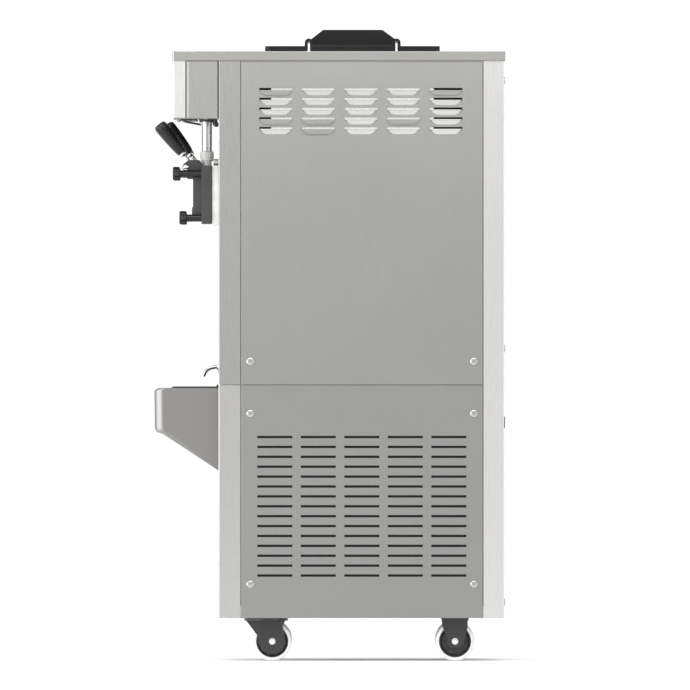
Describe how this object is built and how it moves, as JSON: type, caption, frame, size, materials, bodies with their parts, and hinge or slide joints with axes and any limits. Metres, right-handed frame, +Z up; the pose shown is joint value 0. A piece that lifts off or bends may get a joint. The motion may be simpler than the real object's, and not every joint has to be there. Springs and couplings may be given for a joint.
{
  "type": "floor-standing soft serve ice cream maker",
  "caption": "Tall stainless steel soft serve machine on casters, with pull levers on a dispensing door, a drip tray and black hopper lids.",
  "frame": {"origin": "on the floor under the middle of the machine's overall box", "axes": "+Z up; the front with the dispensing door faces -Y; the pieces named right are at +X and those named left at -X"},
  "size_m": [0.54, 0.72, 1.2952],
  "materials": {
    "brushed_stainless": "brushed stainless sheet",
    "polished_steel": "polished stainless and chrome",
    "zinc_steel": "zinc plated sheet and tube",
    "gloss_black": "glossy moulded black plastic",
    "satin_black": "satin moulded black plastic",
    "white_plastic": "off-white food grade plastic",
    "caster_black": "black powder coat",
    "grey_tyre": "light grey rubber tread on a black hub",
    "condenser_fins": "bare aluminium fins",
    "fan_metal": "pressed aluminium",
    "compressor_paint": "black enamel",
    "motor_paint": "grey enamel"
  },
  "bodies": {
    "cabinet": {"base_pan": "zinc_steel", "beater_motor_left": "motor_paint", "beater_motor_right": "motor_paint", "cabinet_frame": "zinc_steel", "compressor": "compressor_paint", "condenser": "condenser_fins", "control_panel": "brushed_stainless", "cord_gland": "satin_black", "cylinder_plate": "white_plastic", "dispensing_door": "satin_black", "drip_tray_housing": "brushed_stainless", "drip_tube": "polished_steel", "freezing_cylinder_left": "brushed_stainless", "freezing_cylinder_right": "brushed_stainless", "head_housing": "brushed_stainless", "hopper_left": "brushed_stainless", "hopper_right": "brushed_stainless", "lower_front_cover": "brushed_stainless", "lower_side_panel_left": "brushed_stainless", "lower_side_panel_right": "brushed_stainless", "pivot_pin": "polished_steel", "rear_caster_bracket_left": "caster_black", "rear_caster_bracket_right": "caster_black", "rear_cover": "brushed_stainless", "top_cap": "brushed_stainless", "upper_front_cover": "brushed_stainless", "upper_side_panel_left": "brushed_stainless", "upper_side_panel_right": "brushed_stainless"},
    "lever_right": {"lever_right": "polished_steel", "lever_grip_right": "gloss_black"},
    "lever_middle": {"lever_middle": "polished_steel", "lever_grip_middle": "gloss_black"},
    "lever_left": {"lever_left": "polished_steel", "lever_grip_left": "gloss_black"},
    "piston_right": {"piston_right": "white_plastic", "piston_rod_right": "polished_steel"},
    "piston_middle": {"piston_middle": "white_plastic", "piston_rod_middle": "polished_steel"},
    "piston_left": {"piston_left": "white_plastic", "piston_rod_left": "polished_steel"},
    "drip_insert": {"drip_pan": "satin_black", "drip_grate": "satin_black"},
    "upper_door_knob_right": {"upper_door_knob_right": "gloss_black"},
    "upper_door_knob_left": {"upper_door_knob_left": "gloss_black"},
    "lower_door_knob_right": {"lower_door_knob_right": "gloss_black"},
    "lower_door_knob_left": {"lower_door_knob_left": "gloss_black"},
    "start_button": {"start_button": "satin_black"},
    "wash_button": {"wash_button": "satin_black"},
    "stop_button": {"stop_button": "satin_black"},
    "hopper_lid_right": {"hopper_lid_right": "gloss_black"},
    "hopper_lid_left": {"hopper_lid_left": "gloss_black"},
    "beater_right": {"beater_right": "polished_steel"},
    "beater_left": {"beater_left": "polished_steel"},
    "condenser_fan": {"condenser_fan": "fan_metal"},
    "front_caster_fork_right": {"front_caster_fork_right": "caster_black"},
    "front_caster_fork_left": {"front_caster_fork_left": "caster_black"},
    "front_caster_wheel_right": {"front_caster_wheel_right": "grey_tyre"},
    "front_caster_wheel_left": {"front_caster_wheel_left": "grey_tyre"},
    "rear_caster_wheel_right": {"rear_caster_wheel_right": "grey_tyre"},
    "rear_caster_wheel_left": {"rear_caster_wheel_left": "grey_tyre"}
  },
  "joints": [
    {"name": "lever_right_pull", "type": "hinge", "parent": "cabinet", "child": "lever_right", "pos_m": [0.1, -0.295, 1.013], "axis": [1, 0, 0], "range_deg": [0, 35]},
    {"name": "piston_right_lift", "type": "slide", "parent": "cabinet", "child": "piston_right", "axis": [0, 0, 1], "range_m": [0, 0.0205]},
    {"name": "lever_middle_pull", "type": "hinge", "parent": "cabinet", "child": "lever_middle", "pos_m": [0, -0.295, 1.013], "axis": [1, 0, 0], "range_deg": [0, 35]},
    {"name": "piston_middle_lift", "type": "slide", "parent": "cabinet", "child": "piston_middle", "axis": [0, 0, 1], "range_m": [0, 0.0205]},
    {"name": "lever_left_pull", "type": "hinge", "parent": "cabinet", "child": "lever_left", "pos_m": [-0.1, -0.295, 1.013], "axis": [1, 0, 0], "range_deg": [0, 35]},
    {"name": "piston_left_lift", "type": "slide", "parent": "cabinet", "child": "piston_left", "axis": [0, 0, 1], "range_m": [0, 0.0205]},
    {"name": "upper_door_knob_right_turn", "type": "hinge", "parent": "cabinet", "child": "upper_door_knob_right", "pos_m": [0.14, -0.3213, 0.9997], "axis": [0, -1, 0], "continuous": true},
    {"name": "upper_door_knob_left_turn", "type": "hinge", "parent": "cabinet", "child": "upper_door_knob_left", "pos_m": [-0.14, -0.3213, 0.9997], "axis": [0, -1, 0], "continuous": true},
    {"name": "lower_door_knob_right_turn", "type": "hinge", "parent": "cabinet", "child": "lower_door_knob_right", "pos_m": [0.14, -0.3078, 0.909], "axis": [0, -1, 0], "continuous": true},
    {"name": "lower_door_knob_left_turn", "type": "hinge", "parent": "cabinet", "child": "lower_door_knob_left", "pos_m": [-0.14, -0.3078, 0.909], "axis": [0, -1, 0], "continuous": true},
    {"name": "start_button_press", "type": "slide", "parent": "cabinet", "child": "start_button", "axis": [0, 1, 0], "range_m": [0, 0.002], "stiffness_N_per_m": 400, "springref_m": -0.002},
    {"name": "wash_button_press", "type": "slide", "parent": "cabinet", "child": "wash_button", "axis": [0, 1, 0], "range_m": [0, 0.002], "stiffness_N_per_m": 400, "springref_m": -0.002},
    {"name": "stop_button_press", "type": "slide", "parent": "cabinet", "child": "stop_button", "axis": [0, 1, 0], "range_m": [0, 0.002], "stiffness_N_per_m": 400, "springref_m": -0.002},
    {"name": "hopper_lid_right_lift", "type": "slide", "parent": "cabinet", "child": "hopper_lid_right", "axis": [0, 0, 1], "range_m": [0, 0.12]},
    {"name": "hopper_lid_left_lift", "type": "slide", "parent": "cabinet", "child": "hopper_lid_left", "axis": [0, 0, 1], "range_m": [0, 0.12]},
    {"name": "drip_insert_lift", "type": "slide", "parent": "cabinet", "child": "drip_insert", "axis": [0, 0, 1], "range_m": [0, 0.014]},
    {"name": "beater_right_spin", "type": "hinge", "parent": "cabinet", "child": "beater_right", "pos_m": [0.1, 0, 0.957], "axis": [0, 1, 0], "continuous": true},
    {"name": "beater_left_spin", "type": "hinge", "parent": "cabinet", "child": "beater_left", "pos_m": [-0.1, 0, 0.957], "axis": [0, 1, 0], "continuous": true},
    {"name": "condenser_fan_spin", "type": "hinge", "parent": "cabinet", "child": "condenser_fan", "pos_m": [0, -0.122, 0.248], "axis": [0, 1, 0], "continuous": true},
    {"name": "front_caster_right_swivel", "type": "hinge", "parent": "cabinet", "child": "front_caster_fork_right", "pos_m": [0.215, -0.1307, 0.085], "axis": [0, 0, 1], "continuous": true},
    {"name": "front_caster_right_roll", "type": "hinge", "parent": "front_caster_fork_right", "child": "front_caster_wheel_right", "pos_m": [0.215, -0.118, 0.04], "axis": [1, 0, 0], "continuous": true},
    {"name": "rear_caster_right_roll", "type": "hinge", "parent": "cabinet", "child": "rear_caster_wheel_right", "pos_m": [0.215, 0.257, 0.04], "axis": [1, 0, 0], "continuous": true},
    {"name": "front_caster_left_swivel", "type": "hinge", "parent": "cabinet", "child": "front_caster_fork_left", "pos_m": [-0.215, -0.1307, 0.085], "axis": [0, 0, 1], "continuous": true},
    {"name": "front_caster_left_roll", "type": "hinge", "parent": "front_caster_fork_left", "child": "front_caster_wheel_left", "pos_m": [-0.215, -0.118, 0.04], "axis": [1, 0, 0], "continuous": true},
    {"name": "rear_caster_left_roll", "type": "hinge", "parent": "cabinet", "child": "rear_caster_wheel_left", "pos_m": [-0.215, 0.257, 0.04], "axis": [1, 0, 0], "continuous": true}
  ],
  "couplings": [
    {"joint": "piston_right_lift", "follows": "lever_right_pull", "m_per_rad": 0.03274},
    {"joint": "piston_middle_lift", "follows": "lever_middle_pull", "m_per_rad": 0.03274},
    {"joint": "piston_left_lift", "follows": "lever_left_pull", "m_per_rad": 0.03274}
  ]
}
